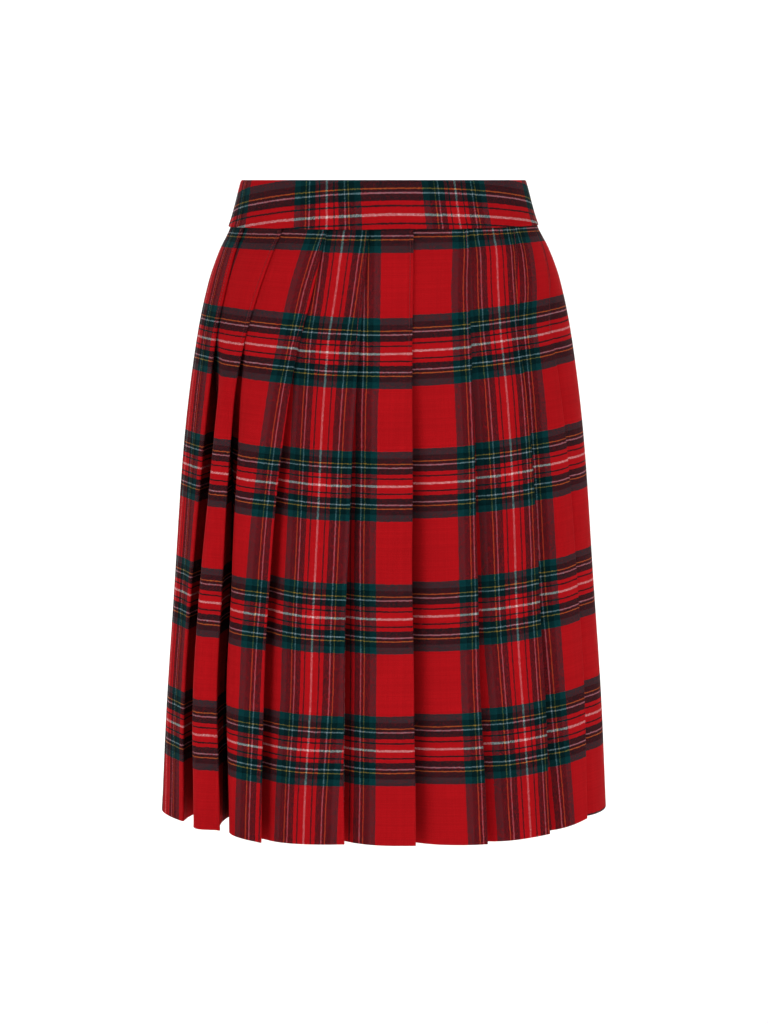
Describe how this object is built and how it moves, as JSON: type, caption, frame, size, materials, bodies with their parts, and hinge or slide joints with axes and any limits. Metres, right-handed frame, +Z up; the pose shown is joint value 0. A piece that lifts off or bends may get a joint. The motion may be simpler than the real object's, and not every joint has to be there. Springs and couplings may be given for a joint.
{
  "type": "pleated skirt",
  "caption": "Knee-length knife-pleated skirt in brushed tartan wool, filled out as worn, with a curved waistband, pleats sewn down over the hips and a concealed back zip.",
  "frame": {"origin": "centre of the waist, at half the height of the waistband", "axes": "+Z up, the wearer faces -Y, and the wearer's left is +X"},
  "size_m": [0.4128, 0.2915, 0.59],
  "materials": {
    "tartan_wool": "brushed wool flannel in a red traditional tartan",
    "waistband_wool": "the same brushed wool, cut on a curve",
    "zip_tape": "woven polyester tape",
    "zip_metal": "nickel-plated, tumbled"
  },
  "bodies": {
    "skirt": {"waistband_front": "waistband_wool", "waistband_back_left": "waistband_wool", "waistband_back_right": "waistband_wool", "skirt_front": "tartan_wool", "skirt_back_left": "tartan_wool", "skirt_back_right": "tartan_wool", "zip_tape": "zip_tape", "zip_slider": "zip_metal"},
    "zip_tab": {"zip_pull": "zip_metal"}
  },
  "joints": [
    {"name": "zip_tab_hinge", "type": "hinge", "parent": "skirt", "child": "zip_tab", "pos_m": [0, 0.0991, 0.01203], "axis": [1, 0, 0], "range_deg": [0, 160]}
  ]
}
